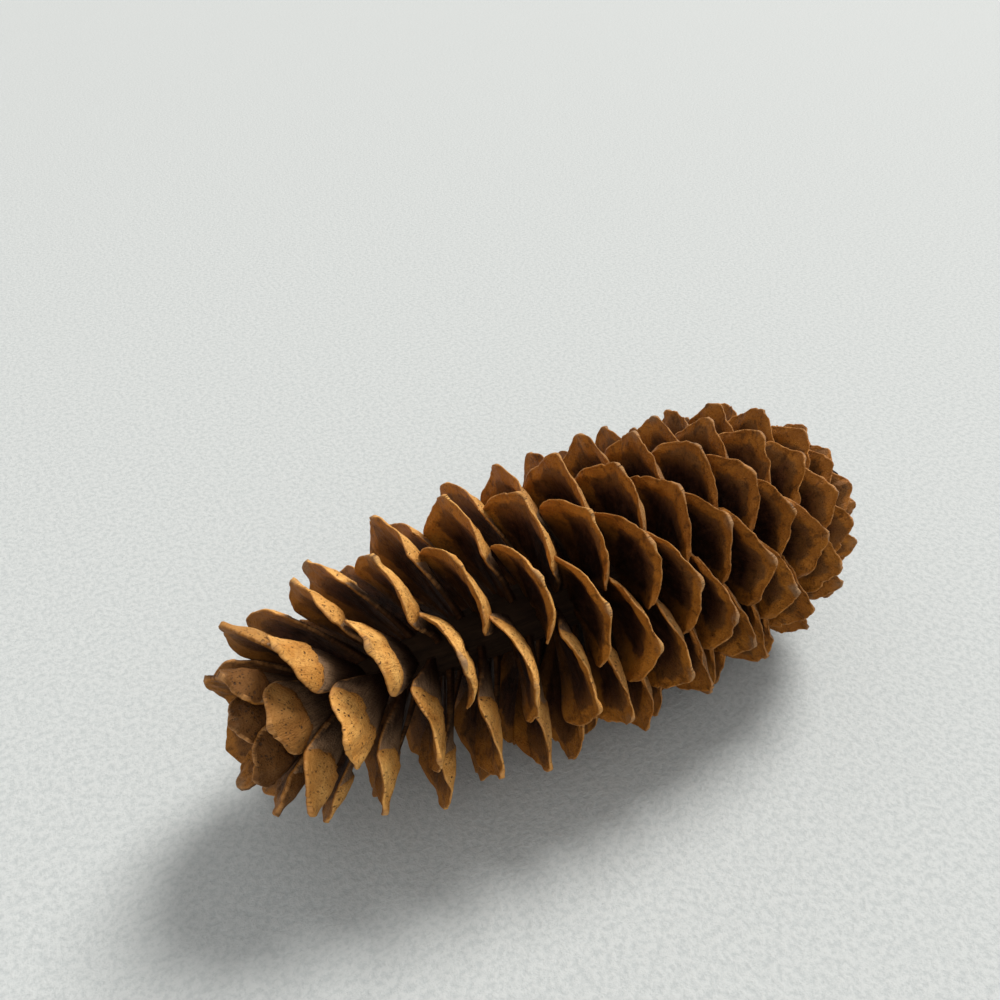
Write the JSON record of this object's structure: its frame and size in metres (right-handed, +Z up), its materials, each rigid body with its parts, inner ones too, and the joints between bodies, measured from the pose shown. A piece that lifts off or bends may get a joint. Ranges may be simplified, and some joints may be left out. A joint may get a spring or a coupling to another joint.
{
  "type": "pine cone",
  "caption": "Large open pine cone lying on its side, with broad cupped woody scales set on a spiral and a short broken stalk.",
  "frame": {"origin": "middle of the cone's outline seen from above, on the surface that it lies on", "axes": "+X along the cone from its tip to its stalk, +Z up, +Y to the left of someone looking from the tip to the stalk"},
  "size_m": [0.2738, 0.1122, 0.1091],
  "materials": {
    "cone_wood": "dry, dull brown cone wood, with dark inner faces and paler tan scale ends"
  },
  "bodies": {
    "root": {"pine_cone": "cone_wood"}
  },
  "joints": []
}
